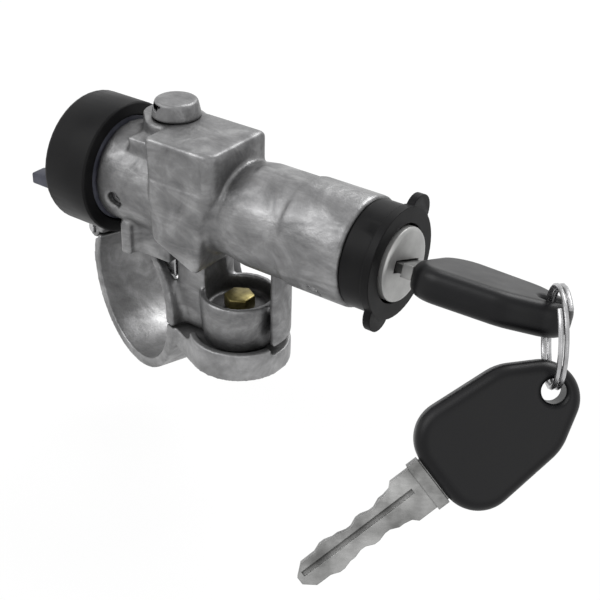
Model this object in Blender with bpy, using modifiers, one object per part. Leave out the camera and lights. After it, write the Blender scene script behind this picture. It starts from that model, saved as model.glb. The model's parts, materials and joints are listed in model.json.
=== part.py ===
# Steering-column lock with its ignition switch, one key in the lock and one on a split ring.
# Metres. The origin is the centre of the column clamp, +X runs along the lock towards the key,
# and +Z points away from the column through the top of the lock housing.

import math

import bmesh
import bpy
from mathutils import Matrix, Vector

# Running and seating gaps
GAP = 0.0003
RUN = 0.0004

# Column clamp
COLUMN_RADIUS = 0.0220
CLAMP_WALL = 0.0032
CLAMP_WIDTH = 0.0260
CLAMP_SKEW = math.radians(20)
SPLIT_DROP = 0.0005
REAR_SPLIT = 0.0105

# Where the lock's axis passes the column
LOCK_SIDE = -0.0116
LOCK_HEIGHT = 0.0415

# Die-cast housing
BARREL_RADIUS = 0.0153
BARREL_END = 0.0800
SHOULDER_END = 0.0545
BOX_START = 0.0125
BOX_LENGTH = 0.0240
BOX_WIDTH = 0.0220
BOX_TOP = 0.0182
BOX_DEPTH = 0.0380
NECK_RADIUS = 0.0148
NECK_START = -0.0025
EDGE_ROUND = 0.0012

# Clamp bolt and the boss that carries it
BOLT_STATION = 0.0370
BOLT_SIDE = 0.0005
BOSS_RADIUS = 0.0112
BOSS_TOP = -0.0285
BOSS_DRAFT = 0.0005
BOSS_WALL = 0.0028
EAR_RADIUS = 0.0150
EAR_THICKNESS = 0.0100
RIM_HEIGHT = 0.0022
RIM_WALL = 0.0022
CLAMP_BOLT_RADIUS = 0.0030
CLAMP_BOLT_HEAD = 0.0110
CLAMP_BOLT_HEAD_HEIGHT = 0.0045
BOLT_OVERHANG = 0.0045
BOSS_RECESS = 0.0030
SPANNER_ROOM = 0.0118

# Strap pin at the rear of the clamp
HINGE_PIN_RADIUS = 0.0015
KNUCKLE_RADIUS = 0.0034
KNUCKLE_SHARE = 0.5

# Lock bolt that enters the column, and its cap
LOCK_BOLT_STATION = 0.0130
LOCK_BOLT_SIZE = 0.0080
LOCK_BOLT_REACH = 0.0055
LOCK_BOLT_TRAVEL = 0.0060
CARRIAGE_LENGTH = 0.0100
CARRIAGE_HALF_WIDTH = 0.0082
SHELF_HEIGHT = 0.0043
SHELF_THICKNESS = 0.0030
CAVITY_FLOOR = -0.0124
CAP_SPIGOT = 0.0056
CAP_BORE = 0.0043
CAP_RADIUS = 0.0072
CAP_TAPER = 0.0009
CAP_HEIGHT = 0.0078

# Driver shaft
SHAFT_RADIUS = 0.0058
CRANK_RADIUS = 0.0030
LOBE_REACH = 0.0080
LOBE_ROUND = 0.0015
DOG_WIDTH = 0.0090
DOG_THICKNESS = 0.0030
DOG_DEPTH = 0.0035
TANG_RADIUS = 0.0040
TANG_FLAT = 0.0022
SHAFT_END = 0.0530
SPRING_POCKET = 0.0096
SPRING_POCKET_DEPTH = 0.0058
RETURN_WIRE = 0.0008

# Spring-loaded ball that marks the shaft's positions
DETENT_STATION = 0.00545
DETENT_RADIUS = 0.0015

# Screw that holds the switch on the neck
GRUB_STATION = 0.0037
GRUB_RADIUS = 0.0021
GRUB_DEPTH = 0.0050
GRUB_TURN = math.radians(12)

# Lock cylinder
SLEEVE_RADIUS = 0.0123
PLUG_RADIUS = 0.0080
PLUG_HEAD_RADIUS = 0.0093
PLUG_REAR = 0.0540
PLUG_SHOULDER = 0.0825
PLUG_FACE = 0.0903
FACE_CAP_WALL = 0.0005
SLEEVE_START = 0.0570
BORE_FLOOR = 0.0525
CIRCLIP_THICKNESS = 0.0008
PIN_STATION = 0.0705
PIN_RADIUS = 0.0013
PIN_ANGLE = math.radians(128)
PIN_POCKET = 0.0042
PIN_POCKET_DEPTH = 0.0012

# Wafers
WAFER_COUNT = 8
WAFER_FIRST = 0.0600
WAFER_PITCH = 0.0028
WAFER_THICKNESS = 0.0010
WAFER_WIDTH = 0.0060
WAFER_LENGTH = 0.0142

# Black collar on the barrel's front end
COLLAR_LENGTH = 0.0067
COLLAR_RADIUS = 0.0146
COLLAR_FLANGE = 0.0024
COLLAR_FLANGE_RADIUS = 0.0152
LOBE_CENTRE = 0.0140
LOBE_RADIUS = 0.0048
LOBE_TURN = math.radians(37)

# Electrical switch on the rear end
SWITCH_RADIUS = 0.0195
SWITCH_DEPTH = 0.0155
SWITCH_REAR_WALL = 0.0075
SWITCH_CAVITY = 0.0158
PLATE_THICKNESS = 0.0010
ROTOR_RADIUS = 0.0120
ROTOR_THICKNESS = 0.0030
COVER_THICKNESS = 0.0018
BRIDGE_THICKNESS = 0.0008
TERMINAL_SIZE = (0.0008, 0.0030)
TERMINAL_COLUMNS = 3
SOCKET_LENGTH = 0.0220
SOCKET_HEIGHT = 0.0110
SOCKET_DEPTH = 0.0058
TAB_LENGTH = 0.0072
TAB_WIDTH = 0.0050
TAB_HEIGHT = 0.0034
TAB_PLACE = (-0.0150, -0.0035)
TAB_ROOT = 0.0040

# Keys
KEY_ROLL = math.radians(20)
BLADE_LENGTH = 0.0390
BLADE_WIDTH = 0.0088
BLADE_THICKNESS = 0.0024
BLADE_ROOT_WIDTH = 0.0112
BLADE_ROOT_LENGTH = 0.0085
BLADE_SHOULDER = 0.0012
BLADE_GROOVE = 0.0013
BLADE_CUTS = (0.0004, 0.0013, 0.0007, 0.0016, 0.0010, 0.0004, 0.0012)
BOW_GAP = 0.0055
BOW_LENGTH = 0.0400
BOW_WIDTH = 0.0285
BOW_THICKNESS = 0.0092
BOW_ROUND = 0.0022
BOW_HOLE = 0.0340
BOW_HOLE_RADIUS = 0.0029
BOW_HOLE_CHAMFER = 0.0010

# Split ring
RING_RADIUS = 0.0118
RING_WIRE = 0.0006
RING_PITCH = 0.0013
RING_TILT = math.radians(8)
RING_TURN = math.radians(35)
SPARE_AT = math.radians(70)
SPARE_LEAN = math.radians(51)
SPARE_DROP = 0.0008

parts = bpy.data.collections.new("steering_lock")
cutters = bpy.data.collections.new("cutters")


def lock_point(x, y=0.0, z=0.0):
    # A point given from the lock's own axis; x still counts from the clamp's centre.
    return Vector((x, LOCK_SIDE + y, LOCK_HEIGHT + z))


def clear_scene():
    for item in list(bpy.data.objects):
        bpy.data.objects.remove(item, do_unlink=True)
    bpy.context.scene.collection.children.link(parts)
    bpy.context.scene.collection.children.link(cutters)


def material(name, colour, roughness, metallic):
    made = bpy.data.materials.new(name)
    made.use_nodes = True
    shader = made.node_tree.nodes["Principled BSDF"]
    shader.inputs["Base Color"].default_value = (*colour, 1)
    shader.inputs["Roughness"].default_value = roughness
    shader.inputs["Metallic"].default_value = metallic
    made.diffuse_color = (*colour, 1)
    return made


def add_object(name, mesh, place=None):
    made = bpy.data.objects.new(name, mesh)
    parts.objects.link(made)
    if place is not None:
        made.matrix_world = place
    return made


def finish(made, look):
    made.data.materials.clear()
    made.data.materials.append(look)
    return made


def from_bmesh(name, shape, place=None):
    mesh = bpy.data.meshes.new(name)
    bmesh.ops.recalc_face_normals(shape, faces=shape.faces)
    shape.to_mesh(mesh)
    shape.free()
    return add_object(name, mesh, place)


def block(name, size, place):
    shape = bmesh.new()
    bmesh.ops.create_cube(shape, size=1)
    bmesh.ops.scale(shape, vec=size, verts=shape.verts)
    return from_bmesh(name, shape, place)


def span_block(name, low, high, turn=None):
    # A box between two corner points, turned about its own centre.
    low, high = Vector(low), Vector(high)
    place = Matrix.Translation((low + high) / 2)
    if turn is not None:
        place = place @ turn
    return block(name, high - low, place)


def rod(name, radius, length, place, segments=40, end_radius=None):
    # A cylinder or cone from local z = 0 to z = length.
    shape = bmesh.new()
    far = radius if end_radius is None else end_radius
    bmesh.ops.create_cone(shape, cap_ends=True, segments=segments, radius1=radius,
                          radius2=far, depth=length)
    bmesh.ops.translate(shape, vec=(0, 0, length / 2), verts=shape.verts)
    return from_bmesh(name, shape, place)


ALONG_LOCK = Matrix.Rotation(math.pi / 2, 4, "Y")


def lock_place(x, y=0.0, z=0.0):
    # Local +Z runs along the lock's axis from this station.
    return Matrix.Translation(lock_point(x, y, z)) @ ALONG_LOCK


def turned(name, outer, place, inner=None, steps=48):
    # Profile points are (height, radius). The outer side runs down from the top.
    mesh = bpy.data.meshes.new(name)
    rows = list(outer) + list(inner or [])
    points = [(radius, 0, height) for height, radius in rows]
    edges = [(i, i + 1) for i in range(len(points) - 1)]
    if inner:
        edges.append((len(points) - 1, 0))
    mesh.from_pydata(points, edges, [])
    made = add_object(name, mesh, place)
    spin = made.modifiers.new("turn", "SCREW")
    spin.axis = "Z"
    spin.steps = steps
    spin.render_steps = steps
    spin.use_merge_vertices = True
    spin.merge_threshold = 0.00001
    return made


def disc_belt(discs, step=math.radians(12)):
    # The outline of a belt around discs (x, y, radius) listed anticlockwise.
    def tangent(first, second):
        x, y = second[0] - first[0], second[1] - first[1]
        reach = math.hypot(x, y)
        lean = math.asin(max(-1, min(1, (first[2] - second[2]) / reach)))
        return math.atan2(y, x) - math.pi / 2 + lean

    outline = []
    count = len(discs)
    for i, (x, y, radius) in enumerate(discs):
        start = tangent(discs[i - 1], discs[i])
        stop = tangent(discs[i], discs[(i + 1) % count])
        while stop < start:
            stop += 2 * math.pi
        pieces = max(1, round((stop - start) / step))
        for k in range(pieces + 1):
            angle = start + (stop - start) * k / pieces
            outline.append((x + radius * math.cos(angle), y + radius * math.sin(angle)))
    return outline


def plate(name, outline, thickness, place):
    # A flat outline in local XY, centred on its thickness.
    curve = bpy.data.curves.new(name, "CURVE")
    curve.dimensions = "2D"
    curve.fill_mode = "BOTH"
    curve.extrude = thickness / 2
    spline = curve.splines.new("POLY")
    spline.points.add(len(outline) - 1)
    for point, (x, y) in zip(spline.points, outline):
        point.co = (x, y, 0, 1)
    spline.use_cyclic_u = True
    return solid_from_curve(name, curve, place)


def solid_from_curve(name, curve, place):
    draft = bpy.data.objects.new(name + "_curve", curve)
    parts.objects.link(draft)
    bpy.context.view_layer.update()
    seen = draft.evaluated_get(bpy.context.evaluated_depsgraph_get())
    mesh = bpy.data.meshes.new_from_object(seen)
    bpy.data.objects.remove(draft, do_unlink=True)
    shape = bmesh.new()
    shape.from_mesh(mesh)
    bmesh.ops.remove_doubles(shape, verts=shape.verts, dist=0.000002)
    bmesh.ops.recalc_face_normals(shape, faces=shape.faces)
    shape.to_mesh(mesh)
    shape.free()
    return add_object(name, mesh, place)


def wire(name, points, radius, place=None, closed=False, sides=2):
    curve = bpy.data.curves.new(name, "CURVE")
    curve.dimensions = "3D"
    curve.bevel_depth = radius
    curve.bevel_resolution = sides
    curve.use_fill_caps = True
    spline = curve.splines.new("POLY")
    spline.points.add(len(points) - 1)
    for point, place_at in zip(spline.points, points):
        point.co = (*place_at, 1)
    spline.use_cyclic_u = closed
    return solid_from_curve(name, curve, place or Matrix.Identity(4))


def helix(radius, pitch, turns, steps=20, start=0.0):
    count = round(turns * steps)
    return [(radius * math.cos(2 * math.pi * i / steps), radius * math.sin(2 * math.pi * i / steps),
             start + pitch * i / steps) for i in range(count + 1)]


def bevel(made, width, segments=2, angle=math.radians(40)):
    soften = made.modifiers.new("round", "BEVEL")
    soften.width = width
    soften.segments = segments
    soften.limit_method = "ANGLE"
    soften.angle_limit = angle
    return soften


def boolean(target, other, operation):
    step = target.modifiers.new(operation.lower(), "BOOLEAN")
    step.operation = operation
    step.object = other
    parts.objects.unlink(other)
    cutters.objects.link(other)
    other.hide_render = True
    other.display_type = "WIRE"
    return target


def cut(target, other):
    return boolean(target, other, "DIFFERENCE")


def join(target, other):
    return boolean(target, other, "UNION")


SKEW = Matrix.Rotation(-CLAMP_SKEW, 4, "Z")
CLAMP_PLACE = SKEW @ Matrix.Rotation(-math.pi / 2, 4, "X")
CLAMP_OUTER = COLUMN_RADIUS + CLAMP_WALL
KNUCKLE_OFFSET = -math.sqrt((CLAMP_OUTER + KNUCKLE_RADIUS * 0.6) ** 2 - REAR_SPLIT ** 2)
KNUCKLE_PLACE = SKEW @ Matrix.Translation((KNUCKLE_OFFSET, 0, REAR_SPLIT)) @ Matrix.Rotation(
    -math.pi / 2, 4, "X")
KNUCKLE_WIDTH = CLAMP_WIDTH * KNUCKLE_SHARE
KEY_TURN = Matrix.Rotation(-KEY_ROLL, 4, "X")
BOX_END = BOX_START + BOX_LENGTH
BORE = SHAFT_RADIUS + RUN
SPLIT = -SPLIT_DROP
BOLT_POINT = lock_point(BOLT_STATION, BOLT_SIDE)
BOSS_FACE = LOCK_HEIGHT + BOSS_TOP - BOSS_RECESS
CAVITY_TOP = SHELF_HEIGHT + SHELF_THICKNESS + LOCK_BOLT_TRAVEL + RUN
KEY_ROOT = PLUG_FACE + GAP + FACE_CAP_WALL + BOW_GAP
SWITCH_FRONT = NECK_START - GAP
SWITCH_REAR = SWITCH_FRONT - SWITCH_DEPTH
SWITCH_FLOOR = SWITCH_REAR + SWITCH_REAR_WALL
PLATE_FRONT = SWITCH_FLOOR + GAP + PLATE_THICKNESS
BRIDGE_FRONT = PLATE_FRONT + GAP + BRIDGE_THICKNESS
ROTOR_FRONT = BRIDGE_FRONT + GAP + ROTOR_THICKNESS
TANG_END = BRIDGE_FRONT + 2 * GAP
FAR = 0.16


def column_surface(x, y):
    # Height of the column's surface under a point, all counted from the lock's axis.
    beside = x * math.cos(CLAMP_SKEW) - (LOCK_SIDE + y) * math.sin(CLAMP_SKEW)
    return math.sqrt(COLUMN_RADIUS ** 2 - beside ** 2) - LOCK_HEIGHT


def centred(place, length):
    return place @ Matrix.Translation((0, 0, -length / 2))


def clamp_rod(name, radius, length, segments=72):
    return rod(name, radius, length, centred(CLAMP_PLACE, length), segments)


def clamp_block(name, low, high):
    # A box between two corner points in the clamp's own skewed directions.
    low, high = Vector(low), Vector(high)
    return block(name, high - low, SKEW @ Matrix.Translation((low + high) / 2))


def lock_block(name, low, high):
    # A box between two corner points counted from the lock's axis.
    return span_block(name, lock_point(*low), lock_point(*high))


def upright(x, y, z):
    return Matrix.Translation(lock_point(x, y, z))


def at_bolt(z):
    return Matrix.Translation((BOLT_POINT.x, BOLT_POINT.y, z))


def pin_place():
    return Matrix.Translation(lock_point(PIN_STATION)) @ Matrix.Rotation(PIN_ANGLE, 4, "X")


def grub_place():
    # Local +Z points out of the neck on the side that faces the bow's near edge.
    return Matrix.Translation(lock_point(GRUB_STATION)) @ Matrix.Rotation(
        math.pi / 2 + GRUB_TURN, 4, "X")


def clamp_ring(name, front_limit, rear_limit, keep_above):
    # One half of the clamp's ring, between its front and rear split faces.
    ring = clamp_rod(name, CLAMP_OUTER, CLAMP_WIDTH)
    if keep_above:
        cut(ring, clamp_block("front_part", (0, -FAR, -FAR), (FAR, FAR, front_limit)))
        cut(ring, clamp_block("rear_part", (-FAR, -FAR, -FAR), (0.0001, FAR, rear_limit)))
    else:
        cut(ring, clamp_block("front_part", (0, -FAR, front_limit), (FAR, FAR, FAR)))
        cut(ring, clamp_block("rear_part", (-FAR, -FAR, rear_limit), (0.0001, FAR, FAR)))
    return ring


def housing(look):
    overlap = 0.004
    under = LOCK_HEIGHT - BARREL_RADIUS + overlap
    web_end = BOLT_POINT.x + EAR_RADIUS
    web_foot = SPLIT + RIM_HEIGHT + GAP
    body = lock_block("housing", (BOX_START, -BOX_WIDTH / 2, BOX_TOP - BOX_DEPTH),
                      (BOX_END, BOX_WIDTH / 2, BOX_TOP))
    bevel(body, EDGE_ROUND)
    step = 0.0005
    join(body, turned("barrel", [(BARREL_END, 0), (BARREL_END, BARREL_RADIUS),
                                 (SHOULDER_END, BARREL_RADIUS),
                                 (SHOULDER_END - step, BARREL_RADIUS - step),
                                 (BOX_END - overlap, BARREL_RADIUS - step),
                                 (BOX_END - overlap, 0)], lock_place(0), steps=48))
    join(body, rod("neck", NECK_RADIUS, BOX_START + overlap - NECK_START,
                   lock_place(NECK_START), 48))
    join(body, clamp_ring("ring", SPLIT, REAR_SPLIT, True))
    side = (CLAMP_WIDTH + KNUCKLE_WIDTH) / 4
    for end in (-side, side):
        length = (CLAMP_WIDTH - KNUCKLE_WIDTH) / 2 - GAP
        join(body, rod("knuckle", KNUCKLE_RADIUS, length, centred(
            KNUCKLE_PLACE @ Matrix.Translation((0, 0, end)), length), 32))
    join(body, rod("boss", BOSS_RADIUS, LOCK_HEIGHT + BOSS_TOP - SPLIT, at_bolt(SPLIT), 48,
                   BOSS_RADIUS - BOSS_DRAFT))
    join(body, span_block("bridge", (COLUMN_RADIUS - overlap, BOLT_POINT.y - 0.0070, SPLIT + GAP),
                          (BOLT_POINT.x - BOSS_RADIUS + 0.003, BOLT_POINT.y + 0.0085, under)))
    join(body, span_block("web", (web_end - RIM_WALL, BOLT_POINT.y - 0.0055, web_foot),
                          (web_end + GAP, BOLT_POINT.y + 0.0092, under)))
    join(body, span_block("web_back", (BOLT_POINT.x - overlap, BOLT_POINT.y + 0.0062, web_foot),
                          (web_end, BOLT_POINT.y + 0.0090, under)))
    cut(body, clamp_rod("column", COLUMN_RADIUS, FAR, 72))
    cut(body, rod("switch_room", SWITCH_RADIUS + 2 * GAP, FAR, lock_place(SWITCH_FRONT + GAP - FAR), 56))
    cut(body, rod("knuckle_room", KNUCKLE_RADIUS + GAP, KNUCKLE_WIDTH + GAP, centred(
        KNUCKLE_PLACE, KNUCKLE_WIDTH + GAP), 32))
    cut(body, rod("hinge_hole", HINGE_PIN_RADIUS + GAP, FAR, centred(KNUCKLE_PLACE, FAR), 20))
    behind = lock_place(NECK_START - 0.001)
    cut(body, rod("shaft_bore", BORE, BORE_FLOOR - NECK_START + 0.002, behind, 40))
    cut(body, rod("spring_pocket", SPRING_POCKET, SPRING_POCKET_DEPTH + 0.001, behind, 40))
    cut(body, rod("cylinder_bore", SLEEVE_RADIUS + GAP, FAR, lock_place(BORE_FLOOR), 56))
    long = CARRIAGE_LENGTH / 2 + RUN
    wide = CARRIAGE_HALF_WIDTH + RUN
    cut(body, lock_block("cavity", (LOCK_BOLT_STATION - long, -wide, CAVITY_FLOOR),
                         (LOCK_BOLT_STATION + long, wide, CAVITY_TOP)))
    half = LOCK_BOLT_SIZE / 2 + GAP
    cut(body, lock_block("tongue_way", (LOCK_BOLT_STATION - half, -half, -LOCK_HEIGHT),
                         (LOCK_BOLT_STATION + half, half, CAVITY_FLOOR + GAP)))
    cut(body, rod("cap_hole", CAP_SPIGOT + GAP, BOX_TOP, upright(
        LOCK_BOLT_STATION, 0, CAVITY_TOP - GAP), 32))
    cut(body, rod("bolt_hole", CLAMP_BOLT_RADIUS + RUN, BOSS_FACE - SPLIT + SPANNER_ROOM,
                  at_bolt(SPLIT - GAP), 24))
    cut(body, rod("boss_recess", BOSS_RADIUS - BOSS_WALL, SPANNER_ROOM, at_bolt(BOSS_FACE), 40))
    cut(body, rod("detent_hole", DETENT_RADIUS + GAP, 0.0078, Matrix.Translation(
        lock_point(DETENT_STATION, SHAFT_RADIUS - 0.001)) @ Matrix.Rotation(
        -math.pi / 2, 4, "X"), 20))
    cut(body, rod("grub_hole", GRUB_RADIUS + GAP, FAR, grub_place() @ Matrix.Translation(
        (0, 0, NECK_RADIUS - GRUB_DEPTH)), 24))
    across = (PIN_POCKET, PIN_POCKET, PIN_POCKET_DEPTH * 2)
    cut(body, block("pin_pocket", across, pin_place() @ Matrix.Translation(
        (0, 0, BARREL_RADIUS))))
    cut(body, rod("pin_hole", PIN_RADIUS + GAP, BARREL_RADIUS, pin_place(), 20))
    return finish(body, look)


def clamp_strap(look):
    split = SPLIT - GAP
    strap = clamp_ring("clamp_strap", split, REAR_SPLIT - KNUCKLE_RADIUS * 0.3, False)
    join(strap, rod("strap_knuckle", KNUCKLE_RADIUS, KNUCKLE_WIDTH - GAP, centred(
        KNUCKLE_PLACE, KNUCKLE_WIDTH - GAP), 32))
    bolt = BOLT_POINT
    outline = disc_belt([(bolt.x, bolt.y, EAR_RADIUS),
                         (COLUMN_RADIUS - 0.004, bolt.y + 0.004, EAR_RADIUS - 0.004)])
    lug = plate("ear", outline, EAR_THICKNESS, Matrix.Translation((0, 0, split - EAR_THICKNESS / 2)))
    join(strap, lug)
    rim = rod("rim", EAR_RADIUS, RIM_HEIGHT + GAP, at_bolt(split - GAP), 60)
    cut(rim, rod("rim_inside", EAR_RADIUS - RIM_WALL, FAR, at_bolt(split - 0.01), 60))
    cut(rim, span_block("rim_rear", (bolt.x - FAR, -FAR, split - FAR / 2),
                        (bolt.x - 0.0045, FAR, FAR)))
    cut(rim, span_block("rim_right", (bolt.x - 0.005, bolt.y + 0.0055, split - FAR / 2),
                        (FAR, FAR, FAR)))
    join(strap, rim)
    cut(strap, clamp_rod("strap_column", COLUMN_RADIUS, FAR, 72))
    side = (CLAMP_WIDTH + KNUCKLE_WIDTH) / 4
    for end in (-side, side):
        length = (CLAMP_WIDTH - KNUCKLE_WIDTH) / 2 + GAP
        cut(strap, rod("knuckle_gap", KNUCKLE_RADIUS + GAP, length, centred(
            KNUCKLE_PLACE @ Matrix.Translation((0, 0, end)), length), 32))
    cut(strap, rod("strap_hinge_hole", HINGE_PIN_RADIUS + GAP, FAR, centred(KNUCKLE_PLACE, FAR), 20))
    cut(strap, rod("strap_bolt_hole", CLAMP_BOLT_RADIUS + RUN, FAR, at_bolt(-FAR / 2), 24))
    return finish(strap, look)


def clamp_bolt(look):
    top = BOSS_FACE + GAP
    foot = SPLIT - EAR_THICKNESS - BOLT_OVERHANG
    bolt = turned("clamp_bolt", [(top + CLAMP_BOLT_HEAD_HEIGHT * 0.3, 0),
                                 (top + CLAMP_BOLT_HEAD_HEIGHT * 0.3, CLAMP_BOLT_RADIUS),
                                 (foot + BOLT_OVERHANG - GAP, CLAMP_BOLT_RADIUS),
                                 (foot + 0.0012, CLAMP_BOLT_RADIUS - 0.0002),
                                 (foot, CLAMP_BOLT_RADIUS - 0.0012), (foot, 0)],
                  at_bolt(0), steps=32)
    head = rod("head", CLAMP_BOLT_HEAD / math.sqrt(3), CLAMP_BOLT_HEAD_HEIGHT, at_bolt(top), 6)
    bevel(head, 0.0004)
    join(bolt, head)
    return finish(bolt, look)


def clamp_hinge_pin(look):
    return finish(rod("clamp_hinge_pin", HINGE_PIN_RADIUS, CLAMP_WIDTH + 0.001, centred(
        KNUCKLE_PLACE, CLAMP_WIDTH + 0.001), 24), look)


def bolt_guide_cap(look):
    base = BOX_TOP + GAP
    top = base + CAP_HEIGHT
    soft = 0.0010
    cap = turned("bolt_guide_cap", [(top, 0), (top, CAP_RADIUS - CAP_TAPER - soft),
                                    (top - soft * 0.4, CAP_RADIUS - CAP_TAPER - soft * 0.3),
                                    (top - soft, CAP_RADIUS - CAP_TAPER),
                                    (base, CAP_RADIUS), (base, CAP_SPIGOT),
                                    (CAVITY_TOP + GAP, CAP_SPIGOT), (CAVITY_TOP + GAP, CAP_BORE),
                                    (top - 0.002, CAP_BORE), (top - 0.002, 0)],
                 upright(LOCK_BOLT_STATION, 0, 0), steps=40)
    return finish(cap, look)


def lock_bolt(look):
    long, wide = CARRIAGE_LENGTH / 2, CARRIAGE_HALF_WIDTH
    x = LOCK_BOLT_STATION
    floor = CAVITY_FLOOR + GAP
    sill = -CRANK_RADIUS - LOCK_BOLT_TRAVEL - RUN
    post = CRANK_RADIUS + LOBE_ROUND + GAP
    bolt = lock_block("lock_bolt", (x - long, -wide, floor), (x + long, wide, SHELF_HEIGHT
                                                              + SHELF_THICKNESS))
    cut(bolt, lock_block("window", (x - FAR, -FAR, sill), (x + FAR, post, SHELF_HEIGHT)))
    half = LOCK_BOLT_SIZE / 2
    foot = column_surface(x - half, half) - LOCK_BOLT_REACH
    tongue = lock_block("tongue", (x - half, -half, foot),
                        (x + half, half, floor + SHELF_THICKNESS / 2))
    bevel(tongue, 0.0006)
    join(bolt, tongue)
    return finish(bolt, look)


def coil(name, radius, wire_radius, length, turns, place, look, steps=12):
    pitch = (length - 2 * wire_radius) / turns
    points = helix(radius, pitch, turns, steps, wire_radius)
    return finish(wire(name, points, wire_radius, place, sides=1), look)


def lock_bolt_spring(look):
    foot = SHELF_HEIGHT + SHELF_THICKNESS + GAP
    roof = BOX_TOP + GAP + CAP_HEIGHT - 0.002 - GAP
    return coil("lock_bolt_spring", CAP_BORE - 0.0012, 0.00045, roof - foot, 5,
                upright(LOCK_BOLT_STATION, 0, foot), look)


def driver_shaft(look):
    long = CARRIAGE_LENGTH / 2 + RUN
    rear, front = LOCK_BOLT_STATION - long, LOCK_BOLT_STATION + long
    neck = NECK_START + GAP
    shaft = turned("driver_shaft", [(SHAFT_END, 0), (SHAFT_END - 0.0005, SHAFT_RADIUS),
                                    (front + GAP, SHAFT_RADIUS), (front + GAP, CRANK_RADIUS),
                                    (rear - GAP, CRANK_RADIUS), (rear - GAP, SHAFT_RADIUS),
                                    (neck, SHAFT_RADIUS), (neck, TANG_RADIUS),
                                    (TANG_END, TANG_RADIUS), (TANG_END, 0)],
                   lock_place(0), steps=40)
    lobe = LOBE_REACH - LOBE_ROUND
    arm = lock_block("lobe", (LOCK_BOLT_STATION - long / 2, -lobe, -LOBE_ROUND),
                     (LOCK_BOLT_STATION + long / 2, 0, LOBE_ROUND))
    tip = rod("lobe_tip", LOBE_ROUND, long, lock_place(LOCK_BOLT_STATION - long / 2, -lobe), 24)
    join(shaft, arm)
    join(shaft, tip)
    cut(shaft, lock_block("dog_slot", (SHAFT_END - DOG_DEPTH - GAP, -FAR, -DOG_THICKNESS / 2 - GAP),
                          (FAR, FAR, DOG_THICKNESS / 2 + GAP)))
    cut(shaft, lock_block("tang_flat", (-FAR, -FAR, TANG_FLAT), (neck - GAP, FAR, FAR)))
    return finish(shaft, look)


def start_return_spring(look):
    room = SPRING_POCKET_DEPTH - 2 * GAP
    return coil("start_return_spring", (SHAFT_RADIUS + SPRING_POCKET) / 2, RETURN_WIRE, room, 1.9,
                lock_place(NECK_START + GAP), look, 18)


def detent(ball_look, spring_look):
    seat = Matrix.Translation(lock_point(DETENT_STATION, SHAFT_RADIUS + GAP)) @ Matrix.Rotation(
        -math.pi / 2, 4, "X")
    shape = bmesh.new()
    bmesh.ops.create_uvsphere(shape, u_segments=14, v_segments=8, radius=DETENT_RADIUS)
    ball = from_bmesh("detent_ball", shape, seat @ Matrix.Translation((0, 0, DETENT_RADIUS)))
    finish(ball, ball_look)
    start = 2 * DETENT_RADIUS + GAP
    coil("detent_spring", DETENT_RADIUS - 0.0006, 0.00025, 0.0068 - GAP * 2 - start, 3,
         seat @ Matrix.Translation((0, 0, start)), spring_look)


def cylinder_sleeve(look):
    bore = PLUG_RADIUS + GAP
    sleeve = turned("cylinder_sleeve", [(BARREL_END, SLEEVE_RADIUS), (SLEEVE_START, SLEEVE_RADIUS)],
                    lock_place(0), [(SLEEVE_START, bore), (BARREL_END, bore)], 56)
    last = WAFER_FIRST + WAFER_PITCH * (WAFER_COUNT - 1) + WAFER_THICKNESS
    channel = (last - WAFER_FIRST + 0.002, 4 * PLUG_RADIUS, WAFER_WIDTH + 2 * RUN)
    slot = block("wafer_channels", channel, Matrix.Translation(lock_point(
        (WAFER_FIRST + last) / 2)) @ KEY_TURN)
    trim = rod("channel_floor", PLUG_RADIUS + 0.0020, FAR, lock_place(0), 48)
    step = slot.modifiers.new("keep", "BOOLEAN")
    step.operation = "INTERSECT"
    step.object = trim
    parts.objects.unlink(trim)
    cutters.objects.link(trim)
    trim.hide_render = True
    trim.display_type = "WIRE"
    cut(sleeve, slot)
    cut(sleeve, rod("sleeve_pin_hole", PIN_RADIUS + GAP, BARREL_RADIUS, pin_place(), 20))
    return finish(sleeve, look)


def cylinder_retaining_pin(look):
    foot = PLUG_RADIUS + 2 * GAP + 0.0006
    return finish(rod("cylinder_retaining_pin", PIN_RADIUS, BARREL_RADIUS - PIN_POCKET_DEPTH + 0.0006
                      - foot, pin_place() @ Matrix.Translation((0, 0, foot)), 20), look)


def lock_plug(look):
    groove_rear = SLEEVE_START - CIRCLIP_THICKNESS - 3 * GAP
    groove_front = SLEEVE_START - GAP
    groove = PLUG_RADIUS - 0.0009
    plug = turned("lock_plug", [(PLUG_FACE, 0), (PLUG_FACE, PLUG_HEAD_RADIUS),
                                (PLUG_SHOULDER, PLUG_HEAD_RADIUS), (PLUG_SHOULDER, PLUG_RADIUS),
                                (groove_front, PLUG_RADIUS), (groove_front, groove),
                                (groove_rear, groove), (groove_rear, PLUG_RADIUS),
                                (PLUG_REAR, PLUG_RADIUS), (PLUG_REAR, 0)], lock_place(0), steps=40)
    dog = lock_block("dog", (SHAFT_END - DOG_DEPTH, -DOG_WIDTH / 2, -DOG_THICKNESS / 2),
                     (PLUG_REAR + 0.001, DOG_WIDTH / 2, DOG_THICKNESS / 2))
    join(plug, dog)
    cut(plug, keyway("keyway", KEY_ROOT - BLADE_LENGTH - RUN, FAR))
    cut(plug, keyway_mouth("plug_mouth"))
    for i in range(WAFER_COUNT):
        x = WAFER_FIRST + WAFER_PITCH * i + WAFER_THICKNESS / 2
        size = (WAFER_THICKNESS + 2 * GAP, 4 * PLUG_RADIUS, WAFER_WIDTH + 2 * GAP)
        cut(plug, block("wafer_slot", size, Matrix.Translation(lock_point(x)) @ KEY_TURN))
    return finish(plug, look)


def keyway(name, start, end):
    size = (end - start, BLADE_WIDTH + 2 * RUN, BLADE_THICKNESS + 2 * GAP)
    return block(name, size, Matrix.Translation(lock_point((start + end) / 2)) @ KEY_TURN)


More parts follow.
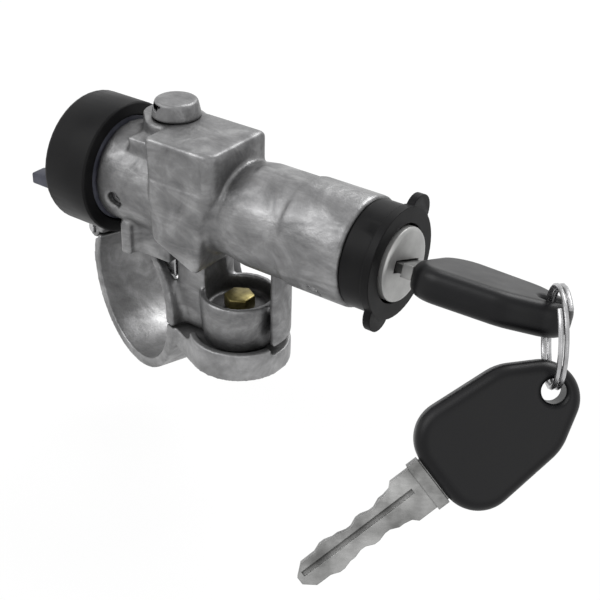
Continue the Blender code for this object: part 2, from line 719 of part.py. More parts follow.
def keyway_mouth(name):
    start = KEY_ROOT - BLADE_ROOT_LENGTH - BLADE_SHOULDER - RUN
    size = (FAR - start, BLADE_ROOT_WIDTH + 2 * RUN, BLADE_THICKNESS + 3 * GAP)
    return block(name, size, Matrix.Translation(lock_point((FAR + start) / 2)) @ KEY_TURN)


def wafers(look):
    for i in range(WAFER_COUNT):
        x = WAFER_FIRST + WAFER_PITCH * i + WAFER_THICKNESS / 2
        place = Matrix.Translation(lock_point(x)) @ KEY_TURN
        wafer = block(f"wafer_{i + 1}", (WAFER_THICKNESS, WAFER_LENGTH, WAFER_WIDTH), place)
        cut(wafer, keyway("wafer_window", x - 0.005, x + 0.005))
        finish(wafer, look)


def plug_circlip(look):
    rear = SLEEVE_START - CIRCLIP_THICKNESS - 2 * GAP
    top = rear + CIRCLIP_THICKNESS
    inside, outside = PLUG_RADIUS - 0.0009 + GAP, PLUG_RADIUS + 0.0018
    clip = turned("plug_circlip", [(top, outside), (rear, outside)], lock_place(0),
                  [(rear, inside), (top, inside)], 40)
    cut(clip, lock_block("clip_gap", (-FAR, -0.002, 0), (FAR, 0.002, FAR)))
    return finish(clip, look)


def plug_face_cap(look):
    face = PLUG_FACE + GAP
    inside = PLUG_HEAD_RADIUS + GAP
    outside = inside + FACE_CAP_WALL
    front = face + FACE_CAP_WALL
    soft = 0.0006
    foot = PLUG_SHOULDER + 0.0012
    cap = turned("plug_face_cap", [(front, 0), (front, outside - 2 * soft),
                                   (front - soft * 0.4, outside - soft * 0.6),
                                   (front - soft * 1.4, outside), (foot, outside),
                                   (foot, inside), (face, inside), (face, 0)],
                 lock_place(0), steps=40)
    cut(cap, keyway_mouth("cap_mouth"))
    return finish(cap, look)


def front_collar(look):
    start = BARREL_END + GAP
    flange = start + COLLAR_LENGTH
    end = flange + COLLAR_FLANGE
    collar = rod("front_collar", COLLAR_RADIUS, COLLAR_LENGTH + COLLAR_FLANGE / 2,
                 lock_place(start), 48)
    sides = [(math.cos(turn - LOBE_TURN) * LOBE_CENTRE, math.sin(turn - LOBE_TURN) * LOBE_CENTRE)
             for turn in (math.pi / 2, 3 * math.pi / 2)]
    facing = Matrix.Translation(lock_point((flange + end) / 2)) @ Matrix.Rotation(
        math.pi / 2, 4, "Z") @ Matrix.Rotation(math.pi / 2, 4, "X")
    disc = rod("flange", COLLAR_FLANGE_RADIUS, COLLAR_FLANGE, lock_place(flange), 48)
    lobes = plate("lobes", disc_belt([(*sides[0], LOBE_RADIUS), (*sides[1], LOBE_RADIUS)]),
                  COLLAR_FLANGE - GAP, facing)
    join(disc, lobes)
    join(collar, disc)
    cut(collar, rod("collar_bore", PLUG_HEAD_RADIUS + 2 * GAP + FACE_CAP_WALL + RUN, FAR,
                    lock_place(0), 56))
    return finish(collar, look)


def switch_body(look):
    soft = 0.0012
    body = turned("switch_body", [(SWITCH_FLOOR, 0), (SWITCH_FLOOR, SWITCH_CAVITY),
                                  (SWITCH_FRONT, SWITCH_CAVITY),
                                  (SWITCH_FRONT, SWITCH_RADIUS - soft * 0.4),
                                  (SWITCH_FRONT - soft * 0.4, SWITCH_RADIUS),
                                  (SWITCH_REAR + soft, SWITCH_RADIUS),
                                  (SWITCH_REAR + soft * 0.3, SWITCH_RADIUS - soft * 0.3),
                                  (SWITCH_REAR, SWITCH_RADIUS - soft), (SWITCH_REAR, 0)],
                  lock_place(0), steps=48)
    cut(body, lock_block("socket", (-FAR, -SOCKET_LENGTH / 2, -SOCKET_HEIGHT / 2),
                         (SWITCH_REAR + SOCKET_DEPTH, SOCKET_LENGTH / 2, SOCKET_HEIGHT / 2)))
    wide, thick = TERMINAL_SIZE
    for y, z in terminal_places():
        cut(body, lock_block("terminal_hole", (SWITCH_REAR, y - thick / 2 - GAP, z - wide / 2 - GAP),
                             (SWITCH_FLOOR + GAP, y + thick / 2 + GAP, z + wide / 2 + GAP)))
    y, z = TAB_PLACE
    cut(body, lock_block("tab_hole", (-FAR, y - TAB_WIDTH / 2 - GAP, z - TAB_HEIGHT / 2 - GAP),
                         (SWITCH_REAR + TAB_ROOT + GAP, y + TAB_WIDTH / 2 + GAP,
                          z + TAB_HEIGHT / 2 + GAP)))
    return finish(body, look)


def terminal_places():
    across = SOCKET_LENGTH / (TERMINAL_COLUMNS + 0.5)
    rise = SOCKET_HEIGHT / 4
    return [((column - (TERMINAL_COLUMNS - 1) / 2) * across, row * rise)
            for column in range(TERMINAL_COLUMNS) for row in (-1, 1)]


def switch_terminals(look):
    wide, thick = TERMINAL_SIZE
    for i, (y, z) in enumerate(terminal_places()):
        blade = lock_block(f"switch_terminal_{i + 1}",
                           (SWITCH_REAR + 0.0010, y - thick / 2, z - wide / 2),
                           (SWITCH_FLOOR, y + thick / 2, z + wide / 2))
        finish(blade, look)


def connector_tab(look):
    y, z = TAB_PLACE
    tab = lock_block("connector_tab", (SWITCH_REAR - TAB_LENGTH, y - TAB_WIDTH / 2, z - TAB_HEIGHT / 2),
                     (SWITCH_REAR + TAB_ROOT, y + TAB_WIDTH / 2, z + TAB_HEIGHT / 2))
    slope = Matrix.Translation(lock_point(SWITCH_REAR - TAB_LENGTH, y, z - TAB_HEIGHT / 2)) @ (
        Matrix.Rotation(math.radians(20), 4, "Y") @ Matrix.Translation((0, 0, -TAB_HEIGHT / 2)))
    cut(tab, block("tab_slope", (TAB_LENGTH, 2 * TAB_WIDTH, TAB_HEIGHT), slope))
    bevel(tab, 0.0005)
    return finish(tab, look)


def terminal_plate(look):
    plate_made = turned("terminal_plate", [(PLATE_FRONT, 0), (PLATE_FRONT, SWITCH_CAVITY - GAP),
                                           (SWITCH_FLOOR + GAP, SWITCH_CAVITY - GAP),
                                           (SWITCH_FLOOR + GAP, 0)], lock_place(0), steps=48)
    return finish(plate_made, look)


def contact_bridge(look):
    bridge = turned("contact_bridge", [(BRIDGE_FRONT, ROTOR_RADIUS - 0.001),
                                       (PLATE_FRONT + GAP, ROTOR_RADIUS - 0.001)], lock_place(0),
                    [(PLATE_FRONT + GAP, ROTOR_RADIUS - 0.005), (BRIDGE_FRONT, ROTOR_RADIUS - 0.005)],
                    40)
    cut(bridge, lock_block("bridge_gap", (-FAR, -FAR, -FAR), (FAR, FAR, -0.002)))
    return finish(bridge, look)


def switch_rotor(look):
    rotor = turned("switch_rotor", [(ROTOR_FRONT, 0), (ROTOR_FRONT, ROTOR_RADIUS),
                                    (BRIDGE_FRONT + GAP, ROTOR_RADIUS), (BRIDGE_FRONT + GAP, 0)],
                   lock_place(0), steps=48)
    hole = rod("tang_hole", TANG_RADIUS + GAP, FAR, lock_place(-FAR / 2), 40)
    cut(hole, lock_block("hole_flat", (-FAR, -FAR, TANG_FLAT + GAP), (FAR, FAR, FAR)))
    cut(rotor, hole)
    return finish(rotor, look)


def switch_cover_plate(look):
    rear = ROTOR_FRONT + RUN
    front = SWITCH_FRONT - GAP
    cover = turned("switch_cover_plate", [(front, SWITCH_CAVITY - GAP),
                                          (front - COVER_THICKNESS, SWITCH_CAVITY - GAP)],
                   lock_place(0), [(front - COVER_THICKNESS, TANG_RADIUS + RUN + GAP),
                                   (front, TANG_RADIUS + RUN + GAP)], 48)
    post = SWITCH_CAVITY - GAP
    rim = turned("cover_rim", [(front - COVER_THICKNESS / 2, post), (rear, post)], lock_place(0),
                 [(rear, ROTOR_RADIUS + 0.001), (front - COVER_THICKNESS / 2, ROTOR_RADIUS + 0.001)],
                 48)
    join(cover, rim)
    return finish(cover, look)


def switch_grub_screw(look):
    foot = NECK_RADIUS - GRUB_DEPTH + GAP
    screw = rod("switch_grub_screw", GRUB_RADIUS, 0.0026, grub_place() @ Matrix.Translation(
        (0, 0, foot)), 24)
    cut(screw, rod("hex_socket", 0.0011, 0.002, grub_place() @ Matrix.Translation(
        (0, 0, foot + 0.0014)), 6))
    return finish(screw, look)


def bow_outline():
    half = BOW_WIDTH / 2
    corner, tip = 0.0080, 0.0080
    return disc_belt([(corner + 0.001, -half + corner, corner), (BOW_LENGTH - tip, 0, tip),
                      (corner + 0.001, half - corner, corner),
                      (corner * 0.8, half * 0.3, corner * 0.8),
                      (corner * 0.8, -half * 0.3, corner * 0.8)])


def key_bow(name, place, look):
    bow = plate(name, bow_outline(), BOW_THICKNESS, place)
    bevel(bow, BOW_ROUND, 2, math.radians(60))
    hole = turned(name + "_hole", [(BOW_THICKNESS, BOW_HOLE_RADIUS + BOW_THICKNESS / 2 + BOW_HOLE_CHAMFER),
                                   (BOW_THICKNESS / 2 - BOW_HOLE_CHAMFER, BOW_HOLE_RADIUS),
                                   (BOW_HOLE_CHAMFER - BOW_THICKNESS / 2, BOW_HOLE_RADIUS),
                                   (-BOW_THICKNESS, BOW_HOLE_RADIUS + BOW_THICKNESS / 2
                                    + BOW_HOLE_CHAMFER)],
                  place @ Matrix.Translation((BOW_HOLE, 0, 0)), steps=32)
    mesh = hole.data
    mesh.vertices.add(2)
    mesh.vertices[-2].co = (0, 0, BOW_THICKNESS)
    mesh.vertices[-1].co = (0, 0, -BOW_THICKNESS)
    cut(bow, hole)
    socket = (0.010, BLADE_ROOT_WIDTH + 2 * GAP, BLADE_THICKNESS + 2 * GAP)
    cut(bow, block(name + "_socket", socket, place))
    return finish(bow, look)


def blade_outline():
    # From the root inside the bow to the pointed tip, both edges cut alike.
    half, root = BLADE_WIDTH / 2, BLADE_ROOT_WIDTH / 2
    tip = -BLADE_LENGTH
    edge = [(0.0047, root), (-BLADE_ROOT_LENGTH, root), (-BLADE_ROOT_LENGTH - BLADE_SHOULDER, half)]
    start = -BLADE_ROOT_LENGTH - BLADE_SHOULDER - 0.001
    end = tip + 0.0042
    count = len(BLADE_CUTS)
    pitch = (end - start) / count
    for i, depth in enumerate(BLADE_CUTS):
        edge.append((start + pitch * (i + 0.3), half - depth))
        edge.append((start + pitch * (i + 0.7), half - depth))
    edge.append((tip + 0.0026, half * 0.72))
    edge.append((tip, half * 0.22))
    return edge + [(x, -y) for x, y in reversed(edge)]


def key_blade(name, place, look):
    blade = plate(name, blade_outline(), BLADE_THICKNESS, place)
    collar = block(name + "_collar", (0.0030, BLADE_ROOT_WIDTH + 0.0012, BLADE_THICKNESS + 0.0012),
                   place @ Matrix.Translation((-0.0015 - GAP, 0, 0)))
    join(blade, collar)
    depth = BLADE_THICKNESS * 0.22
    length = BLADE_LENGTH - 0.007
    for side in (-1, 1):
        cut(blade, block(name + "_groove", (length, BLADE_GROOVE, 2 * depth), place
                         @ Matrix.Translation((-BLADE_LENGTH + 0.0015 + length / 2, side * 0.0008,
                                               side * BLADE_THICKNESS / 2))))
    return finish(blade, look)


def key_place():
    return Matrix.Translation(lock_point(KEY_ROOT)) @ KEY_TURN


def ring_frame():
    # Local X points from the first key's hole to the ring's centre; local Z is the ring's axis.
    hole = key_place() @ Vector((BOW_HOLE, 0, 0))
    towards = Vector((math.sin(RING_TURN), -math.cos(RING_TURN), 0))
    axis = Vector((math.cos(RING_TURN), math.sin(RING_TURN), 0))
    tilted = towards * math.cos(RING_TILT) + Vector((0, 0, math.sin(RING_TILT)))
    side = axis.cross(tilted)
    frame = Matrix((tilted, side, axis)).transposed().to_4x4()
    return Matrix.Translation(hole + tilted * RING_RADIUS) @ frame


def split_ring(look):
    middle = (math.pi + SPARE_AT) / 2
    turns = 2
    points = helix(RING_RADIUS, RING_PITCH, turns, 28, -RING_PITCH * turns / 2)
    place = ring_frame() @ Matrix.Rotation(middle - math.pi, 4, "Z")
    return finish(wire("split_ring", points, RING_WIRE, place), look)


def spare_place():
    # The spare key hangs on the ring; its hole's axis follows the ring's wire.
    frame = ring_frame()
    spot = Vector((math.cos(SPARE_AT), math.sin(SPARE_AT), 0))
    along = Vector((-math.sin(SPARE_AT), math.cos(SPARE_AT), 0))
    down = (spot * math.cos(SPARE_LEAN) - Vector((0, 0, math.sin(SPARE_LEAN)))).normalized()
    normal = -along
    inward = -down
    side = normal.cross(inward)
    turn = Matrix((inward, side, normal)).transposed().to_4x4()
    return frame @ Matrix.Translation(spot * RING_RADIUS + down * SPARE_DROP) @ turn @ (
        Matrix.Translation((-BOW_HOLE, 0, 0)))


def build():
    clear_scene()
    zinc = material("die_cast_zinc", (0.46, 0.46, 0.47), 0.42, 1.0)
    steel = material("bright_steel", (0.62, 0.62, 0.63), 0.28, 1.0)
    satin = material("satin_cap", (0.66, 0.66, 0.67), 0.35, 1.0)
    plated = material("yellow_zinc", (0.62, 0.52, 0.26), 0.38, 1.0)
    brass = material("brass", (0.72, 0.55, 0.28), 0.35, 1.0)
    black = material("black_plastic", (0.025, 0.025, 0.027), 0.45, 0.0)
    grey = material("grey_plastic", (0.20, 0.21, 0.25), 0.5, 0.0)
    housing(zinc)
    clamp_strap(zinc)
    clamp_bolt(plated)
    clamp_hinge_pin(steel)
    bolt_guide_cap(zinc)
    lock_bolt(steel)
    lock_bolt_spring(steel)
    driver_shaft(zinc)
    start_return_spring(steel)
    detent(steel, steel)
    cylinder_sleeve(zinc)
    cylinder_retaining_pin(steel)
    lock_plug(zinc)
    plug_face_cap(satin)
    plug_circlip(steel)
    wafers(brass)
    front_collar(black)
    switch_body(black)
    switch_cover_plate(grey)
    switch_rotor(grey)
    contact_bridge(brass)
    terminal_plate(grey)
    switch_terminals(brass)
    connector_tab(grey)
    switch_grub_screw(steel)
    key_blade("key_blade", key_place(), steel)
    key_bow("key_bow", key_place(), black)
    split_ring(steel)
    key_blade("spare_key_blade", spare_place(), steel)
    key_bow("spare_key_bow", spare_place(), black)


build()
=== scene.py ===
import json
import math

import bpy
from mathutils import Matrix, Vector


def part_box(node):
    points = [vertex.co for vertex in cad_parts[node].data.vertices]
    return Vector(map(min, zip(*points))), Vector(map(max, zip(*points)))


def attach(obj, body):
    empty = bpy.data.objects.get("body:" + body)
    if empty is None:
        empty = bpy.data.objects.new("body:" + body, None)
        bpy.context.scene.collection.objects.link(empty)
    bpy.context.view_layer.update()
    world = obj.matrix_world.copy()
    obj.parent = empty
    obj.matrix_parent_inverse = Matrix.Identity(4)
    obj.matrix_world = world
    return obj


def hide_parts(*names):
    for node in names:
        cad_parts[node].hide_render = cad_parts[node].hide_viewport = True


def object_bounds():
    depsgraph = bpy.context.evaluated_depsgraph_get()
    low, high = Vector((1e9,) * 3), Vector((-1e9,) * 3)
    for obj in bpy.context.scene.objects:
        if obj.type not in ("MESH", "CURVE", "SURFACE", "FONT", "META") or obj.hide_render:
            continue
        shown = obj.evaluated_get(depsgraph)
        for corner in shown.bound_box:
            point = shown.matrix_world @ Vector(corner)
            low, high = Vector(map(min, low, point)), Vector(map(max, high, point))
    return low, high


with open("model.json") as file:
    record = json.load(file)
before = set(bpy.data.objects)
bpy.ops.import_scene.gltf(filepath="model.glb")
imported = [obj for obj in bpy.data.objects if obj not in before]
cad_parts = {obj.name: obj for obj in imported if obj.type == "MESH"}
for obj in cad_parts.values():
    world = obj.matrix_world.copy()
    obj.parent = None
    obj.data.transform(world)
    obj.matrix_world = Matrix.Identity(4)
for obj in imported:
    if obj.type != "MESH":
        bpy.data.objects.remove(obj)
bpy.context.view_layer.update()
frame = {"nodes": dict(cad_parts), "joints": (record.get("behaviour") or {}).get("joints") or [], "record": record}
print("frame loaded:", len(frame["nodes"]), "nodes")


def deselectAll():
    if bpy.context.object and bpy.context.object.mode != "OBJECT":
        bpy.ops.object.mode_set(mode="OBJECT")
    bpy.ops.object.select_all(action="DESELECT")


def makeActive(thing):
    deselectAll()
    thing.select_set(True)
    bpy.context.view_layer.objects.active = thing


# Where the lock's axis runs, read from the frame: the plug is turned about it
plugLow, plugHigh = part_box("plug_face_cap")
axisY = (plugLow[1] + plugHigh[1]) / 2
axisZ = (plugLow[2] + plugHigh[2]) / 2


# Node materials

def newMaterial(name):
    made = bpy.data.materials.new(name)
    made.use_nodes = True
    nodes = made.node_tree.nodes
    links = made.node_tree.links
    shader = nodes["Principled BSDF"]
    where = nodes.new("ShaderNodeTexCoord")
    return made, nodes, links, shader, where


def noiseOn(nodes, links, source, scale, detail=4.0, roughness=0.55, distortion=0.0):
    noise = nodes.new("ShaderNodeTexNoise")
    noise.inputs["Scale"].default_value = scale
    noise.inputs["Detail"].default_value = detail
    noise.inputs["Roughness"].default_value = roughness
    noise.inputs["Distortion"].default_value = distortion
    links.new(source, noise.inputs["Vector"])
    return noise.outputs["Fac"]


def spread(nodes, links, value, low, high, toLow, toHigh):
    # Maps a value onto another range
    ranged = nodes.new("ShaderNodeMapRange")
    ranged.inputs["From Min"].default_value = low
    ranged.inputs["From Max"].default_value = high
    ranged.inputs["To Min"].default_value = toLow
    ranged.inputs["To Max"].default_value = toHigh
    links.new(value, ranged.inputs["Value"])
    return ranged.outputs["Result"]


def ramp(nodes, links, value, stops):
    made = nodes.new("ShaderNodeValToRGB")
    parts = made.color_ramp.elements
    while len(parts) < len(stops):
        parts.new(0.5)
    for part, (place, colour) in zip(parts, stops):
        part.position = place
        part.color = (*colour, 1)
    links.new(value, made.inputs["Fac"])
    return made.outputs["Color"]


def bumped(nodes, links, shader, layers, edge=0.0):
    # Bumps are chained; each layer is (height, strength, distance)
    last = None
    if edge > 0:
        rounding = nodes.new("ShaderNodeBevel")
        rounding.samples = 6
        rounding.inputs["Radius"].default_value = edge
        last = rounding.outputs["Normal"]
    for height, strength, distance in layers:
        bump = nodes.new("ShaderNodeBump")
        bump.inputs["Strength"].default_value = strength
        bump.inputs["Distance"].default_value = distance
        links.new(height, bump.inputs["Height"])
        if last is not None:
            links.new(last, bump.inputs["Normal"])
        last = bump.outputs["Normal"]
    if last is not None:
        links.new(last, shader.inputs["Normal"])


def castMetal(name, settings):
    # Dull die-cast skin: cloudy greys, flow streaks, fine pits and brighter rubbed places; painted shade darkens
    # the colour in hollows and corners
    made, nodes, links, shader, where = newMaterial(name)
    place = where.outputs["Object"]
    clouds = noiseOn(nodes, links, place, settings["cloudScale"], 6.0, 0.62, 0.6)
    flow = nodes.new("ShaderNodeMapping")
    flow.inputs["Scale"].default_value = (0.35, 1.0, 1.0)
    links.new(place, flow.inputs["Vector"])
    streaks = noiseOn(nodes, links, flow.outputs["Vector"], settings["streakScale"], 5.0, 0.6, 1.2)
    grain = noiseOn(nodes, links, place, settings["grainScale"], 3.0, 0.7)
    skin = noiseOn(nodes, links, place, settings["skinScale"], 3.0, 0.55)
    both = nodes.new("ShaderNodeMix")
    both.data_type = "FLOAT"
    both.inputs["Factor"].default_value = 0.45
    links.new(clouds, both.inputs["A"])
    links.new(streaks, both.inputs["B"])
    mottle = both.outputs["Result"]
    colour = ramp(nodes, links, mottle, [(0.36, settings["dark"]), (0.50, settings["middle"]),
                                         (0.64, settings["light"])])
    # Painted shade: ambient occlusion darkens the base colour in hollows, corners and between parts
    shadeOcclusion = nodes.new("ShaderNodeAmbientOcclusion")
    shadeOcclusion.samples = 6
    shadeOcclusion.inputs["Distance"].default_value = settings["paintedShadeReach"]
    shade = spread(nodes, links, shadeOcclusion.outputs["AO"], 0.25, 0.95, settings["paintedShadeLevel"], 1.0)
    paintedShadeColour = nodes.new("ShaderNodeMix")
    paintedShadeColour.data_type = "RGBA"
    paintedShadeColour.blend_type = "MULTIPLY"
    paintedShadeColour.inputs["Factor"].default_value = 1.0
    links.new(colour, paintedShadeColour.inputs["A"])
    links.new(shade, paintedShadeColour.inputs["B"])
    links.new(paintedShadeColour.outputs["Result"], shader.inputs["Base Color"])
    low, high = settings["roughness"]
    links.new(spread(nodes, links, mottle, 0.36, 0.64, high, low), shader.inputs["Roughness"])
    shader.inputs["Metallic"].default_value = settings["metallic"]
    bumped(nodes, links, shader, [(skin, settings["skinBump"], 0.0008),
                                  (grain, settings["grainBump"], 0.0002)], settings["edge"])
    return made


def smoothMetal(name, settings):
    made, nodes, links, shader, where = newMaterial(name)
    place = where.outputs["Object"]
    stretch = nodes.new("ShaderNodeMapping")
    stretch.inputs["Scale"].default_value = settings["stretch"]
    links.new(place, stretch.inputs["Vector"])
    streaks = noiseOn(nodes, links, stretch.outputs["Vector"], settings["streakScale"], 4.0, 0.6)
    smears = noiseOn(nodes, links, place, settings["smearScale"], 3.0, 0.5)
    colour = ramp(nodes, links, smears, [(0.3, settings["dark"]), (0.7, settings["light"])])
    links.new(colour, shader.inputs["Base Color"])
    low, high = settings["roughness"]
    links.new(spread(nodes, links, streaks, 0.3, 0.7, low, high), shader.inputs["Roughness"])
    shader.inputs["Metallic"].default_value = settings["metallic"]
    bumped(nodes, links, shader, [(streaks, settings["streakBump"], 0.0001)], settings["edge"])
    return made


def mouldedPlastic(name, settings):
    made, nodes, links, shader, where = newMaterial(name)
    place = where.outputs["Object"]
    smears = noiseOn(nodes, links, place, settings["smearScale"], 4.0, 0.55)
    grain = noiseOn(nodes, links, place, settings["grainScale"], 2.0, 0.5)
    colour = ramp(nodes, links, smears, [(0.3, settings["dark"]), (0.7, settings["light"])])
    links.new(colour, shader.inputs["Base Color"])
    low, high = settings["roughness"]
    links.new(spread(nodes, links, smears, 0.3, 0.7, low, high), shader.inputs["Roughness"])
    shader.inputs["Specular IOR Level"].default_value = settings["gloss"]
    bumped(nodes, links, shader, [(grain, settings["grainBump"], 0.0001)], settings["edge"])
    return made


# For both zinc finishes the two shade settings give the reach and the darkest level of the painted shade in
# hollows
castZinc = castMetal("castZinc", {
    "dark": (0.115, 0.115, 0.117), "middle": (0.185, 0.185, 0.187), "light": (0.30, 0.30, 0.302),
    "cloudScale": 110, "streakScale": 150, "grainScale": 3600, "skinScale": 460,
    "roughness": (0.34, 0.52), "metallic": 0.80, "skinBump": 0.22, "grainBump": 0.20,
    "paintedShadeReach": 0.010, "paintedShadeLevel": 0.36, "edge": 0.0005})
strapZinc = castMetal("strapZinc", {
    "dark": (0.140, 0.140, 0.141), "middle": (0.225, 0.225, 0.227), "light": (0.34, 0.34, 0.342),
    "cloudScale": 80, "streakScale": 120, "grainScale": 3400, "skinScale": 340,
    "roughness": (0.34, 0.50), "metallic": 0.80, "skinBump": 0.16, "grainBump": 0.16,
    "paintedShadeReach": 0.012, "paintedShadeLevel": 0.40, "edge": 0.0005})
brightSteel = smoothMetal("brightSteel", {
    "dark": (0.30, 0.30, 0.305), "light": (0.52, 0.52, 0.525), "stretch": (1, 1, 1),
    "streakScale": 900, "smearScale": 260, "roughness": (0.20, 0.34), "metallic": 0.95,
    "streakBump": 0.08, "edge": 0.0002})
nickelBlade = smoothMetal("nickelBlade", {
    "dark": (0.11, 0.11, 0.108), "light": (0.30, 0.30, 0.296), "stretch": (0.4, 0.4, 1.6),
    "streakScale": 1100, "smearScale": 150, "roughness": (0.30, 0.46), "metallic": 0.85,
    "streakBump": 0.22, "edge": 0.0003})
satinCap = smoothMetal("satinCap", {
    "dark": (0.30, 0.30, 0.295), "light": (0.40, 0.40, 0.392), "stretch": (1, 1, 1),
    "streakScale": 1800, "smearScale": 180, "roughness": (0.36, 0.48), "metallic": 0.70,
    "streakBump": 0.05, "edge": 0.0003})
# Painted shade: this yellow zinc is darkened all over because the clamp bolt's head sits mostly in shadow
shadeDarkYellowZinc = smoothMetal("shadeDarkYellowZinc", {
    "dark": (0.11, 0.09, 0.03), "light": (0.28, 0.24, 0.10), "stretch": (1, 1, 1),
    "streakScale": 900, "smearScale": 420, "roughness": (0.30, 0.44), "metallic": 0.90,
    "streakBump": 0.10, "edge": 0.0003})
stampedBrass = smoothMetal("stampedBrass", {
    "dark": (0.50, 0.36, 0.15), "light": (0.66, 0.50, 0.25), "stretch": (1, 1, 1),
    "streakScale": 900, "smearScale": 200, "roughness": (0.28, 0.40), "metallic": 1.0,
    "streakBump": 0.10, "edge": 0.0002})
blackPlastic = mouldedPlastic("blackPlastic", {
    "dark": (0.0030, 0.0030, 0.0034), "light": (0.0080, 0.0079, 0.0082), "smearScale": 80,
    "grainScale": 2600, "roughness": (0.36, 0.52), "gloss": 0.09,
    "grainBump": 0.12, "edge": 0.0005})
bowPlastic = mouldedPlastic("bowPlastic", {
    "dark": (0.0014, 0.0014, 0.0018), "light": (0.0034, 0.0034, 0.0042), "smearScale": 90,
    "grainScale": 3400, "roughness": (0.34, 0.44), "gloss": 0.20,
    "grainBump": 0.14, "edge": 0.0005})
greyPlastic = mouldedPlastic("greyPlastic", {
    "dark": (0.035, 0.037, 0.050), "light": (0.075, 0.077, 0.095), "smearScale": 160,
    "grainScale": 2600, "roughness": (0.42, 0.55), "gloss": 0.15,
    "grainBump": 0.10, "edge": 0.0003})
print("materials made")


finishOf = {
    "die_cast_zinc": castZinc, "bright_steel": brightSteel, "satin_cap": satinCap,
    "yellow_zinc": shadeDarkYellowZinc, "brass": stampedBrass, "black_plastic": blackPlastic,
    "grey_plastic": greyPlastic}
finishOfNode = {
    "clamp_strap": strapZinc, "key_blade": nickelBlade, "spare_key_blade": nickelBlade,
    "key_bow": bowPlastic, "spare_key_bow": bowPlastic}
slotOf = {row["node"]: row["material_slot"] for row in frame["record"]["subparts"]}
bodyOf = {}
for body, names in frame["record"]["behaviour"]["bodies"].items():
    for name in names:
        bodyOf[name] = body


def giveFinish(thing, finish):
    thing.data.materials.clear()
    thing.data.materials.append(finish)


for name, node in frame["nodes"].items():
    giveFinish(node, finishOfNode.get(name, finishOf[slotOf[name]]))


# Shaping tools; sizes are in metres

def finishedMove(thing):
    makeActive(thing)
    bpy.ops.object.transform_apply(location=True, rotation=True, scale=True)
    return thing


def lockPoint(x, y=0.0, z=0.0):
    # y and z count from the lock's axis, x from the clamp's centre
    return Vector((x, axisY + y, axisZ + z))


def boxPiece(name, low, high):
    low, high = Vector(low), Vector(high)
    deselectAll()
    bpy.ops.mesh.primitive_cube_add(size=1, location=(low + high) / 2)
    thing = bpy.context.object
    thing.name = name
    thing.scale = high - low
    return finishedMove(thing)


def lockBox(name, low, high):
    return boxPiece(name, lockPoint(*low), lockPoint(*high))


def rodPiece(name, radius, start, end, sides=64, endRadius=None):
    # A round bar between two points
    start, end = Vector(start), Vector(end)
    deselectAll()
    bpy.ops.mesh.primitive_cone_add(vertices=sides, radius1=radius,
                                    radius2=radius if endRadius is None else endRadius,
                                    depth=(end - start).length, location=(start + end) / 2,
                                    rotation=(end - start).to_track_quat("Z", "Y").to_euler())
    thing = bpy.context.object
    thing.name = name
    return finishedMove(thing)


def lockRod(name, radius, start, end, sides=64, endRadius=None):
    # A round bar on the lock's axis between two stations
    return rodPiece(name, radius, lockPoint(start), lockPoint(end), sides, endRadius)


def outlinePiece(name, outline, depth, place):
    # A flat outline, set out on a filled circle's points and given a depth
    deselectAll()
    bpy.ops.mesh.primitive_circle_add(vertices=len(outline), radius=1, fill_type="NGON")
    thing = bpy.context.object
    thing.name = name
    for point, (x, y) in zip(thing.data.vertices, outline):
        point.co = (x, y, 0)
    wall = thing.modifiers.new("wall", "SOLIDIFY")
    wall.thickness = depth
    wall.offset = 0
    bpy.ops.object.modifier_apply(modifier="wall")
    bpy.ops.object.mode_set(mode="EDIT")
    bpy.ops.mesh.select_all(action="SELECT")
    bpy.ops.mesh.normals_make_consistent(inside=False)
    bpy.ops.object.mode_set(mode="OBJECT")
    thing.matrix_world = place
    return finishedMove(thing)


def arcPoints(radius, fromTurn, toTurn, steps):
    turns = [fromTurn + (toTurn - fromTurn) * i / steps for i in range(steps + 1)]
    return [(radius * math.cos(turn), radius * math.sin(turn)) for turn in turns]


def hullPiece(name, pieces):
    # One skin stretched round several pieces
    makeActive(pieces[0])
    for piece in pieces:
        piece.select_set(True)
    bpy.ops.object.join()
    thing = bpy.context.object
    thing.name = name
    bpy.ops.object.mode_set(mode="EDIT")
    bpy.ops.mesh.select_all(action="SELECT")
    bpy.ops.mesh.convex_hull(join_triangles=True, face_threshold=0.01, shape_threshold=0.01)
    bpy.ops.object.mode_set(mode="OBJECT")
    return thing


def combine(body, other, how):
    makeActive(body)
    step = body.modifiers.new("combine", "BOOLEAN")
    step.operation = how
    step.solver = "MANIFOLD"
    step.object = other
    bpy.ops.object.modifier_apply(modifier="combine")
    bpy.data.objects.remove(other, do_unlink=True)
    return body


def addTo(body, *others):
    # Overlapping solids are joined as they are; evenOut makes one skin of them
    makeActive(body)
    for other in others:
        other.select_set(True)
    bpy.ops.object.join()
    return body


def evenOut(thing, square):
    makeActive(thing)
    even = thing.modifiers.new("even", "REMESH")
    even.mode = "VOXEL"
    even.voxel_size = square
    bpy.ops.object.modifier_apply(modifier="even")
    return thing


def cutFrom(body, *others):
    for other in others:
        combine(body, other, "DIFFERENCE")
    return body


def roundEdges(thing, width, segments=3, angle=30):
    makeActive(thing)
    soften = thing.modifiers.new("round", "BEVEL")
    soften.width = width
    soften.segments = segments
    soften.limit_method = "ANGLE"
    soften.angle_limit = math.radians(angle)
    bpy.ops.object.modifier_apply(modifier="round")
    return thing


def softCasting(thing, square, rounds):
    # Rebuilt from small even squares, with every corner turned a little, as a casting's are
    evenOut(thing, square)
    rounder = thing.modifiers.new("rounder", "SMOOTH")
    rounder.factor = 0.5
    rounder.iterations = rounds
    bpy.ops.object.modifier_apply(modifier="rounder")
    bpy.ops.object.shade_smooth()
    return thing


def settle(thing, node):
    # Gives a new piece its finish and its body, and hides the node that it stands for
    giveFinish(thing, finishOfNode.get(node, finishOf[slotOf[node]]))
    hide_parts(node)
    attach(thing, bodyOf[node])
    return thing


# The column clamp, skewed across the lock; the casting and the strap share it

